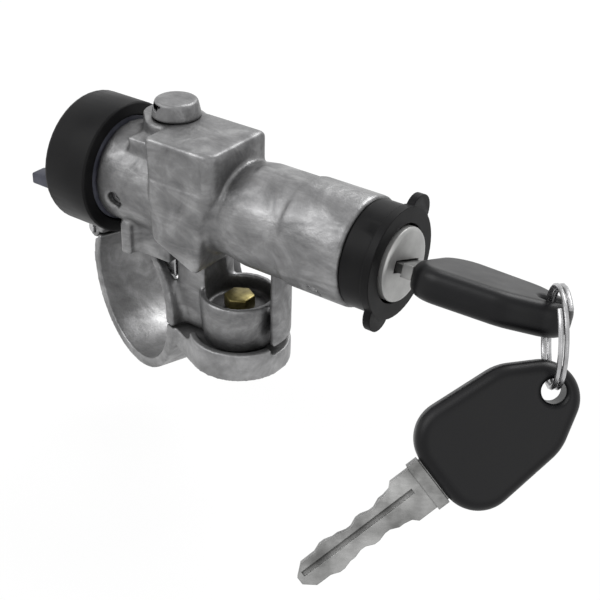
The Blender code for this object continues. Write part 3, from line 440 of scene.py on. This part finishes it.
clampSet = {"bore": 0.0220, "wall": 0.0032, "width": 0.0260, "skew": 20.0,
            "frontSplit": -0.0005, "rearSplit": 0.0105, "knuckle": 0.0034,
            "knuckleShare": 0.5, "pin": 0.0015, "gap": 0.0003, "through": 0.2,
            "boltX": 0.0370, "boltY": 0.0005, "flange": 0.0150, "flangeThick": 0.0064,
            "rimHeight": 0.0022, "rimWall": 0.0022, "seatRadius": 0.0050, "seatHeight": 0.0034,
            "boltHole": 0.0034}
skewTurn = Matrix.Rotation(-math.radians(clampSet["skew"]), 4, "Z")
clampAcross = skewTurn.to_3x3() @ Vector((0, 1, 0))
ringOuter = clampSet["bore"] + clampSet["wall"]
pinOut = -math.sqrt((ringOuter + clampSet["knuckle"] * 0.6) ** 2 - clampSet["rearSplit"] ** 2)
pinMiddle = skewTurn @ Vector((pinOut, 0, clampSet["rearSplit"]))
boltSpot = Vector((clampSet["boltX"], axisY + clampSet["boltY"], 0))


def clampRod(name, radius, length, middle=Vector((0, 0, 0)), sides=96):
    half = clampAcross * length / 2
    return rodPiece(name, radius, middle - half, middle + half, sides)


def clampBox(name, low, high):
    thing = boxPiece(name, low, high)
    thing.matrix_world = skewTurn
    return finishedMove(thing)


def boltRod(name, radius, foot, top, sides=64, endRadius=None):
    up = Vector((0, 0, 1))
    return rodPiece(name, radius, boltSpot + up * foot, boltSpot + up * top, sides, endRadius)


def halfRing(name, upper):
    far = clampSet["through"] / 2
    ring = clampRod(name, ringOuter, clampSet["width"])
    front, rear = clampSet["frontSplit"], clampSet["rearSplit"]
    if upper:
        cutFrom(ring, clampBox("frontOff", (0, -far, -far), (far, far, front)),
                clampBox("rearOff", (-far, -far, -far), (0.0001, far, rear)))
    else:
        front, rear = front - clampSet["gap"], rear - clampSet["knuckle"] * 0.3
        cutFrom(ring, clampBox("frontOff", (0, -far, front), (far, far, far)),
                clampBox("rearOff", (-far, -far, rear), (0.0001, far, far)))
    return ring


# The casting: body, barrel, neck, upper half of the clamp and the bolt's boss

castingSet = {"rear": 0.0165, "front": 0.0400, "top": 0.0202, "near": -0.0154, "far": 0.0090,
              "sill": 0.0077, "lip": 0.0011, "recess": 0.0006, "corner": 0.0034, "lean": 0.0018,
              "heel": -0.0104, "foot": -0.0170, "toe": 0.0062, "edge": 0.0012,
              "barrel": 0.0153, "barrelEnd": 0.0800, "shoulder": 0.0610, "step": 0.0006,
              "cove": 0.0060, "coveDepth": 0.0010, "neck": 0.0148, "neckStart": -0.0025,
              "bossRadius": 0.0115, "bossDraft": 0.0011, "bossTop": 0.0140, "bossWall": 0.0018,
              "bossFace": 0.0088, "webTop": 0.0365, "webFrom": -12, "webTo": 62,
              "ribHalf": 0.0009, "ribTurn": 7, "overlap": 0.0003, "sink": 0.004,
              "square": 0.00058, "rounds": 3}
switchRoomSet = {"radius": 0.0195, "clear": 0.0006, "front": -0.0028, "frontClear": 0.0004}
blockSet = {"guide": ((0.0061, -0.0100, -0.0200), (0.0200, 0.0100, 0.0155)),
            "lug": ((0.0035, -0.0125, -0.0205), (0.0073, -0.0070, -0.0105)),
            "bridgeRear": 0.018, "bridgeNear": -0.0055, "bridgeFar": 0.0085, "bridgeLap": 0.003}
grooveSet = {"lead": 0.0006, "end": 0.0735, "high": -0.0013, "out": 0.0004, "deep": 0.0005}


def castBody():
    c = castingSet
    outline = [(c["rear"], c["top"]), (c["rear"] + c["lean"], c["heel"]),
               (c["front"] - c["toe"], c["foot"]), (c["front"] - c["toe"] * 0.6, 0),
               (c["front"], c["sill"]), (c["front"], c["top"])]
    middle = lockPoint(0, (c["near"] + c["far"]) / 2)
    body = outlinePiece("housingCasting", outline, c["far"] - c["near"],
                        Matrix.Translation(middle) @ Matrix.Rotation(math.pi / 2, 4, "X"))
    corner = boxPiece("corner", (-c["corner"] / 2, -c["corner"] / 2, -0.05),
                      (c["corner"] / 2, c["corner"] / 2, 0.05))
    corner.matrix_world = Matrix.Translation(lockPoint(c["front"], c["near"])) @ (
        Matrix.Rotation(math.pi / 4, 4, "Z"))
    cutFrom(body, finishedMove(corner))
    roundEdges(body, c["edge"], 2, 25)
    return body


def castBarrel():
    c = castingSet
    low = c["barrel"] - c["step"]
    barrel = lockRod("barrelEnd", c["barrel"], c["shoulder"], c["barrelEnd"], 96)
    lap, coveEnd = c["overlap"], c["front"] + c["cove"]
    rear = c["front"] - c["toe"] - c["sink"]
    addTo(barrel, lockRod("barrelWaist", low, coveEnd, c["shoulder"] + lap, 96),
          lockRod("barrelCove", low - c["coveDepth"], c["front"], coveEnd + lap, 96, low),
          lockRod("barrelRoot", low - c["coveDepth"], rear, c["front"] + lap, 96))
    return barrel


def springEar():
    # The rounded ear behind the body that carries the spring cap
    s = earSet
    top = castingSet["top"] - clampSet["gap"]
    small = rodPiece("earBack", s["backRadius"], lockPoint(s["backX"], s["backY"]),
                     lockPoint(s["backX"], s["backY"], top), 48)
    large = rodPiece("earFront", s["radius"], lockPoint(capSet["x"], capSet["y"]),
                     lockPoint(capSet["x"], capSet["y"], top), 48)
    return hullPiece("springEar", [small, large])


def clampWeb(fromTurn, toTurn, foot, top):
    # The wall that follows the flange's rim round to the back
    outer = clampSet["flange"]
    outline = arcPoints(outer, fromTurn, toTurn, 12)
    outline += reversed(arcPoints(outer - clampSet["rimWall"], fromTurn, toTurn, 12))
    return outlinePiece("clampWeb", outline, top - foot,
                        Matrix.Translation(boltSpot + Vector((0, 0, (top + foot) / 2))))


earSet = {"backX": 0.0085, "backY": 0.0030, "backRadius": 0.0060, "radius": 0.0088}
capSet = {"x": 0.0140, "y": 0.0018, "radius": 0.0071, "taper": 0.0011, "height": 0.0050,
          "soft": 0.0008, "sunk": 0.0001, "springX": 0.0130, "springRadius": 0.0043,
          "springFoot": 0.0150, "springTop": 0.0242, "square": 0.00025, "rounds": 3}

# The hollows for what turns and slides inside, at the CAD's places
hollowSet = {"shaft": 0.0062, "shaftEnd": 0.0530, "lead": 0.001, "pocket": 0.0096,
             "pocketDepth": 0.0068, "cylinder": 0.0126, "cylinderFloor": 0.0525,
             "carriage": ((0.0076, -0.0086, -0.0124), (0.0184, 0.0086, 0.0137)),
             "tongueRear": 0.0087, "tongueFront": 0.0173, "tongueHalf": 0.0043,
             "tongueTop": -0.0121, "springFoot": 0.0130, "springTop": 0.0240,
             "spannerRoom": 0.0118, "grubX": 0.0037, "grub": 0.0024, "grubDepth": 0.0052,
             "grubOut": 0.05, "grubTurn": 12, "pinX": 0.0705, "pinTurn": 128, "pin": 0.0016,
             "pinReach": 0.0150, "pinPocket": 0.0021, "pinPocketDepth": 0.0012}


def hollowLock(body):
    h = hollowSet
    behind = castingSet["neckStart"] - h["lead"]
    cutFrom(body, lockRod("shaftBore", h["shaft"], behind, h["shaftEnd"], 40),
            lockRod("springPocket", h["pocket"], behind, behind + h["pocketDepth"], 40),
            lockRod("cylinderBore", h["cylinder"], h["cylinderFloor"], clampSet["through"], 64),
            lockBox("carriageRoom", *h["carriage"]),
            lockBox("tongueWay", (h["tongueRear"], -h["tongueHalf"], -axisZ),
                    (h["tongueFront"], h["tongueHalf"], h["tongueTop"])),
            rodPiece("springRoom", capSet["springRadius"],
                     lockPoint(capSet["springX"], 0, h["springFoot"]),
                     lockPoint(capSet["springX"], 0, h["springTop"]), 32))


def hollowFastenings(body):
    # The clamp bolt's hole and well, the grub screw's hole and the pin's pocket
    h, c = hollowSet, castingSet
    wellTop = c["bossFace"] + h["spannerRoom"]
    cutFrom(body, boltRod("boltHole", clampSet["boltHole"],
                          clampSet["frontSplit"] - clampSet["gap"], wellTop, 24),
            boltRod("bossRecess", c["bossRadius"] - c["bossWall"], c["bossFace"], wellTop, 48))
    turn = math.radians(h["grubTurn"])
    outward = Vector((0, -math.cos(turn), -math.sin(turn)))
    grub = lockPoint(h["grubX"])
    cutFrom(body, rodPiece("grubHole", h["grub"], grub + outward * (c["neck"] - h["grubDepth"]),
                           grub + outward * h["grubOut"], 24))
    pinTurn = Matrix.Rotation(math.radians(h["pinTurn"]), 4, "X")
    half, deep = h["pinPocket"], h["pinPocketDepth"]
    pocket = boxPiece("pinPocket", (-half, -half, c["barrel"] - deep),
                      (half, half, c["barrel"] + deep))
    pocket.matrix_world = Matrix.Translation(lockPoint(h["pinX"])) @ pinTurn
    outward = pinTurn.to_3x3() @ Vector((0, 0, 1))
    cutFrom(body, finishedMove(pocket),
            rodPiece("pinHole", h["pin"], lockPoint(h["pinX"]),
                     lockPoint(h["pinX"]) + outward * h["pinReach"], 20))


def housingCasting():
    c = castingSet
    split, gap = clampSet["frontSplit"], clampSet["gap"]
    body = castBody()
    addTo(body, lockBox("boltGuide", *blockSet["guide"]), springEar(), castBarrel(),
          lockRod("neck", c["neck"], c["neckStart"], c["rear"] + c["sink"], 96))
    ridge = lockBox("topRib", (c["front"] + c["cove"], -c["ribHalf"], c["barrel"] - c["sink"]),
                    (c["shoulder"], c["ribHalf"], c["barrel"]))
    ridge.matrix_world = Matrix.Translation(lockPoint(0)) @ Matrix.Rotation(
        math.radians(c["ribTurn"]), 4, "X") @ Matrix.Translation(-lockPoint(0))
    addTo(body, finishedMove(ridge))
    addTo(body, lockBox("lug", *blockSet["lug"]))
    ring = halfRing("upperRing", True)
    room = switchRoomSet
    cutFrom(ring, lockRod("switchRoom", room["radius"] + room["clear"], -clampSet["through"] / 2,
                          room["front"] + room["frontClear"], 96))
    addTo(body, ring)
    length = clampSet["width"] * (1 - clampSet["knuckleShare"]) / 2 - gap
    away = clampSet["width"] * (1 + clampSet["knuckleShare"]) / 4
    for side in (-away, away):
        addTo(body, clampRod("knuckle", clampSet["knuckle"], length,
                             pinMiddle + clampAcross * side, 32))
    b = blockSet
    addTo(body, boltRod("boss", c["bossRadius"] - c["bossDraft"], split, c["bossTop"], 64,
                        c["bossRadius"]),
          boxPiece("bridge", (b["bridgeRear"], boltSpot.y + b["bridgeNear"], split + gap),
                   (boltSpot.x - c["bossRadius"] + b["bridgeLap"], boltSpot.y + b["bridgeFar"],
                    axisZ - c["barrel"] + c["sink"])),
          clampWeb(math.radians(c["webFrom"]), math.radians(c["webTo"]),
                   split + clampSet["rimHeight"] + gap, c["webTop"]))
    evenOut(body, c["square"])
    cutFrom(body, lockBox("sideRecess", (0, -0.05, c["sill"]),
                          (c["front"] - c["corner"], c["near"] + c["recess"],
                           c["top"] - c["lip"])))
    g = grooveSet
    cutFrom(body, lockBox("flashGroove",
                          (c["shoulder"] + g["lead"], -c["barrel"] - g["out"], g["high"]),
                          (g["end"], -c["barrel"] + g["deep"], 0)))
    cutFrom(body, clampRod("columnBore", clampSet["bore"], clampSet["through"]),
            clampRod("knuckleRoom", clampSet["knuckle"] + gap,
                     clampSet["width"] * clampSet["knuckleShare"] + gap, pinMiddle, 32),
            clampRod("pinHole", clampSet["pin"] + gap, clampSet["through"], pinMiddle, 24))
    hollowLock(body)
    hollowFastenings(body)
    return softCasting(body, c["square"], c["rounds"])


settle(housingCasting(), "housing")
print("casting made")


strapSet = {"backLap": 0.004, "backAside": 0.004, "backLess": 0.004, "edge": 0.0009,
            "rimFrom": -135, "rimTo": -14, "seatDraft": 0.8, "square": 0.00040, "rounds": 6}


def clampStrap():
    s = strapSet
    split = clampSet["frontSplit"] - clampSet["gap"]
    gap, thick, radius = clampSet["gap"], clampSet["flangeThick"], clampSet["flange"]
    strap = halfRing("clampStrap", False)
    share = clampSet["width"] * clampSet["knuckleShare"]
    addTo(strap, clampRod("strapKnuckle", clampSet["knuckle"], share - gap, pinMiddle, 32))
    near = boltRod("earNear", radius, split - thick, split, 64)
    back = Vector((clampSet["bore"] - s["backLap"], boltSpot.y + s["backAside"], 0))
    far = rodPiece("earFar", radius - s["backLess"], back + Vector((0, 0, split - thick)),
                   back + Vector((0, 0, split)), 48)
    ear = roundEdges(hullPiece("ear", [near, far]), s["edge"], 2)
    start, stop = math.radians(s["rimFrom"]), math.radians(s["rimTo"])
    outline = arcPoints(radius - gap, start, stop, 14)
    outline += reversed(arcPoints(radius - gap - clampSet["rimWall"], start, stop, 14))
    rimMiddle = split + (clampSet["rimHeight"] - gap) / 2
    rim = outlinePiece("rim", outline, clampSet["rimHeight"] + gap,
                       Matrix.Translation(boltSpot + Vector((0, 0, rimMiddle))))
    seat = boltRod("seat", clampSet["seatRadius"] * s["seatDraft"],
                   split - thick - clampSet["seatHeight"], split - thick + gap, 40,
                   clampSet["seatRadius"])
    addTo(strap, ear, rim, seat)
    evenOut(strap, s["square"])
    cutFrom(strap, clampRod("columnBore", clampSet["bore"], clampSet["through"]))
    away = clampSet["width"] * (1 + clampSet["knuckleShare"]) / 4
    length = clampSet["width"] * (1 - clampSet["knuckleShare"]) / 2 + gap
    for side in (-away, away):
        cutFrom(strap, clampRod("knuckleGap", clampSet["knuckle"] + gap, length,
                                pinMiddle + clampAcross * side, 32))
    reach = clampSet["through"] / 4
    cutFrom(strap, clampRod("pinHole", clampSet["pin"] + gap, clampSet["through"], pinMiddle, 24),
            boltRod("boltHole", clampSet["boltHole"], -reach, reach, 24))
    return softCasting(strap, s["square"], s["rounds"])


boltSet = {"radius": 0.0030, "overhang": 0.0045, "tip": 0.0009, "intoHead": 0.001,
           "headRadius": 0.0046, "headHeight": 0.0040, "headEdge": 0.0005}


def clampBolt():
    s = boltSet
    foot = clampSet["frontSplit"] - clampSet["gap"] - clampSet["flangeThick"] - s["overhang"]
    face = castingSet["bossFace"] + clampSet["gap"]
    bolt = boltRod("clampBoltBody", s["radius"], foot, face + s["intoHead"], 32)
    roundEdges(bolt, s["tip"], 2)
    head = boltRod("boltHead", s["headRadius"], face, face + s["headHeight"], 6)
    return combine(bolt, roundEdges(head, s["headEdge"], 3), "UNION")


def springCap():
    s = capSet
    foot = lockPoint(s["x"], s["y"], castingSet["top"] - s["sunk"])
    top = foot + Vector((0, 0, s["height"]))
    cap = rodPiece("springCap", s["radius"], foot, top, 64, s["radius"] - s["taper"])
    roundEdges(cap, s["soft"], 3)
    cutFrom(cap, rodPiece("springRoom", s["springRadius"],
                          lockPoint(s["springX"], 0, s["springFoot"]),
                          lockPoint(s["springX"], 0, s["springTop"]), 32))
    return softCasting(cap, s["square"], s["rounds"])


settle(clampStrap(), "clamp_strap")
bolt = settle(clampBolt(), "clamp_bolt")
makeActive(bolt)
bpy.ops.object.shade_smooth_by_angle(angle=math.radians(30))
settle(springCap(), "bolt_guide_cap")
print("strap, bolt and cap made")


# The moulded bows: an egg with well rounded edges, drawn round the ring's hole

bowSet = {"length": 0.0398, "thick": 0.0088, "edge": 0.0030, "hole": 0.0340, "holeRadius": 0.0029,
          "chamfer": 0.0009, "chamferWiden": 1.2, "clear": 0.0002,
          "cornerRadius": 0.0092, "cornerAside": 0.0046, "belly": 0.0126,
          "bellyAt": 0.0235, "tip": 0.0088, "square": 0.0003, "rounds": 6}
jointOf = {row["name"]: row for row in frame["joints"]}


def keyBow(name, swing, blade):
    s = bowSet
    hole = Vector(jointOf[swing]["pos_m"])
    across = Vector(jointOf[swing]["axis"]).normalized()
    points = [point.co for point in frame["nodes"][blade].data.vertices]
    away = sum(points, Vector()) / len(points) - hole
    along = -(away - across * away.dot(across)).normalized()
    place = Matrix((along, across.cross(along), across)).transposed().to_4x4()
    place.translation = hole - along * s["hole"]
    discs = []
    for x, y, radius in ((s["cornerRadius"], s["cornerAside"], s["cornerRadius"]),
                         (s["cornerRadius"], -s["cornerAside"], s["cornerRadius"]),
                         (s["bellyAt"], 0, s["belly"]), (s["length"] - s["tip"], 0, s["tip"])):
        disc = rodPiece("disc", radius, (x, y, -s["thick"] / 2), (x, y, s["thick"] / 2), 64)
        discs.append(roundEdges(disc, s["edge"], 5))
    bow = hullPiece(name, discs)
    half, mouth = s["thick"] / 2, s["holeRadius"] + s["chamfer"] * s["chamferWiden"]
    for side in (-1, 1):
        cutFrom(bow, rodPiece("chamfer", s["holeRadius"],
                              (s["hole"], 0, side * (half - s["chamfer"])),
                              (s["hole"], 0, side * (half + s["clear"])), 40, mouth))
    reach = clampSet["through"] / 10
    cutFrom(bow, rodPiece("ringHole", s["holeRadius"], (s["hole"], 0, -reach),
                          (s["hole"], 0, reach), 40))
    softCasting(bow, s["square"], s["rounds"])
    bow.matrix_world = place
    return finishedMove(bow)


settle(keyBow("moulded_bow", "ring_swing", "key_blade"), "key_bow")
settle(keyBow("moulded_spare_bow", "spare_key_swing", "spare_key_blade"), "spare_key_bow")
print("bows made")



# Smooth copies of the CAD nodes stand in for the faceted ones

def smoothCopy(node, suffix="skin", angle=38, merge=0.000004):
    source = frame["nodes"][node]
    mesh = source.data.copy()
    thing = bpy.data.objects.new(node + "_" + suffix, mesh)
    bpy.context.scene.collection.objects.link(thing)
    makeActive(thing)
    bpy.ops.object.mode_set(mode="EDIT")
    bpy.ops.mesh.select_all(action="SELECT")
    bpy.ops.mesh.remove_doubles(threshold=merge)
    bpy.ops.mesh.dissolve_limited(angle_limit=math.radians(0.5))
    bpy.ops.mesh.select_all(action="DESELECT")
    bpy.ops.object.mode_set(mode="OBJECT")
    bpy.ops.object.shade_smooth_by_angle(angle=math.radians(angle))
    giveFinish(thing, finishOfNode.get(node, finishOf[slotOf[node]]))
    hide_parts(node)
    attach(thing, bodyOf[node])
    return thing


for node in ("front_collar", "switch_body", "plug_face_cap", "key_blade", "spare_key_blade",
             "split_ring", "connector_tab", "clamp_hinge_pin"):
    smoothCopy(node)
print("skins made")


# The camera stands as the photograph's did, a short way off

cameraSet = {"azimuth": 35.0, "elevation": 31.0, "roll": 1.5, "distance": 0.355,
             "focalPixels": 1268.0, "across": -0.0275, "up": 0.0300}
lockOrigin = Vector((0.024, axisY, axisZ))


def addCamera():
    turn = math.radians(cameraSet["azimuth"])
    rise = math.radians(cameraSet["elevation"])
    roll = math.radians(cameraSet["roll"])
    back = Vector((math.sin(turn) * math.cos(rise), -math.cos(turn) * math.cos(rise),
                   math.sin(rise)))
    right = Vector((math.cos(turn), math.sin(turn), 0))
    above = back.cross(right)
    side = right * math.cos(roll) + above * math.sin(roll)
    top = above * math.cos(roll) - right * math.sin(roll)
    data = bpy.data.cameras.new("camera")
    data.sensor_width = 36
    data.lens = 36 * cameraSet["focalPixels"] / 600
    data.clip_start = 0.01
    camera = bpy.data.objects.new("camera", data)
    bpy.context.scene.collection.objects.link(camera)
    shift = side * cameraSet["across"] + top * cameraSet["up"]
    spot = lockOrigin + back * cameraSet["distance"] - shift
    frameOf = Matrix((side, top, back)).transposed().to_4x4()
    camera.matrix_world = Matrix.Translation(spot) @ frameOf
    bpy.context.scene.camera = camera
    return camera


addCamera()


# Pale floor, white surround and soft lamps

lightSet = {"keyPower": 6.0, "fillPower": 2.0, "rimPower": 9.0, "worldLevel": 0.60,
            "floorDrop": 0.022, "floorSize": 6, "floorGlow": 0.93}


def addLamp(name, spot, power, size, colour=(1, 1, 1)):
    data = bpy.data.lights.new(name, "AREA")
    data.energy = power
    data.size = size
    data.color = colour
    lamp = bpy.data.objects.new(name, data)
    bpy.context.scene.collection.objects.link(lamp)
    aim = Vector((0.05, -0.01, 0.03)) - Vector(spot)
    lamp.matrix_world = Matrix.Translation(spot) @ aim.to_track_quat("-Z", "Y").to_matrix().to_4x4()
    return lamp


def whiteRays(nodes, links):
    # 1 for the rays that see the white surround: camera, mirror and glass rays
    paths = nodes.new("ShaderNodeLightPath")
    seen = paths.outputs["Is Camera Ray"]
    for other in ("Is Glossy Ray", "Is Transmission Ray"):
        larger = nodes.new("ShaderNodeMath")
        larger.operation = "MAXIMUM"
        links.new(seen, larger.inputs[0])
        links.new(paths.outputs[other], larger.inputs[1])
        seen = larger.outputs[0]
    return seen


def addWorld():
    world = bpy.data.worlds.new("studio")
    world.use_nodes = True
    nodes, links = world.node_tree.nodes, world.node_tree.links
    level = nodes.new("ShaderNodeMapRange")
    level.inputs["To Min"].default_value = lightSet["worldLevel"]
    level.inputs["To Max"].default_value = 1.0
    links.new(whiteRays(nodes, links), level.inputs["Value"])
    background = nodes["Background"]
    background.inputs["Color"].default_value = (1, 1, 1, 1)
    links.new(level.outputs["Result"], background.inputs["Strength"])
    bpy.context.scene.world = world


def addFloor():
    low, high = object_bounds()
    deselectAll()
    bpy.ops.mesh.primitive_plane_add(size=lightSet["floorSize"],
                                     location=(0, 0, low[2] - lightSet["floorDrop"]))
    floor = bpy.context.object
    floor.name = "floor"
    made, nodes, links, shader, where = newMaterial("floorWhite")
    shader.inputs["Base Color"].default_value = (0.92, 0.92, 0.92, 1)
    shader.inputs["Roughness"].default_value = 0.9
    shine = nodes.new("ShaderNodeEmission")
    shine.inputs["Strength"].default_value = 1.0
    blend = nodes.new("ShaderNodeMixShader")
    share = nodes.new("ShaderNodeMath")
    share.operation = "MULTIPLY"
    share.inputs[1].default_value = lightSet["floorGlow"]
    links.new(whiteRays(nodes, links), share.inputs[0])
    links.new(share.outputs[0], blend.inputs["Fac"])
    links.new(shader.outputs[0], blend.inputs[1])
    links.new(shine.outputs[0], blend.inputs[2])
    links.new(blend.outputs[0], nodes["Material Output"].inputs["Surface"])
    floor.data.materials.append(made)


addWorld()
addLamp("keyLamp", (-0.45, -0.60, 0.75), lightSet["keyPower"], 0.70)
addLamp("fillLamp", (0.85, -0.55, 0.35), lightSet["fillPower"], 0.80)
addLamp("rimLamp", (0.05, 0.70, 0.85), lightSet["rimPower"], 0.60)
addFloor()
bpy.context.scene.view_settings.view_transform = "Standard"
print("camera, lamps and floor made")
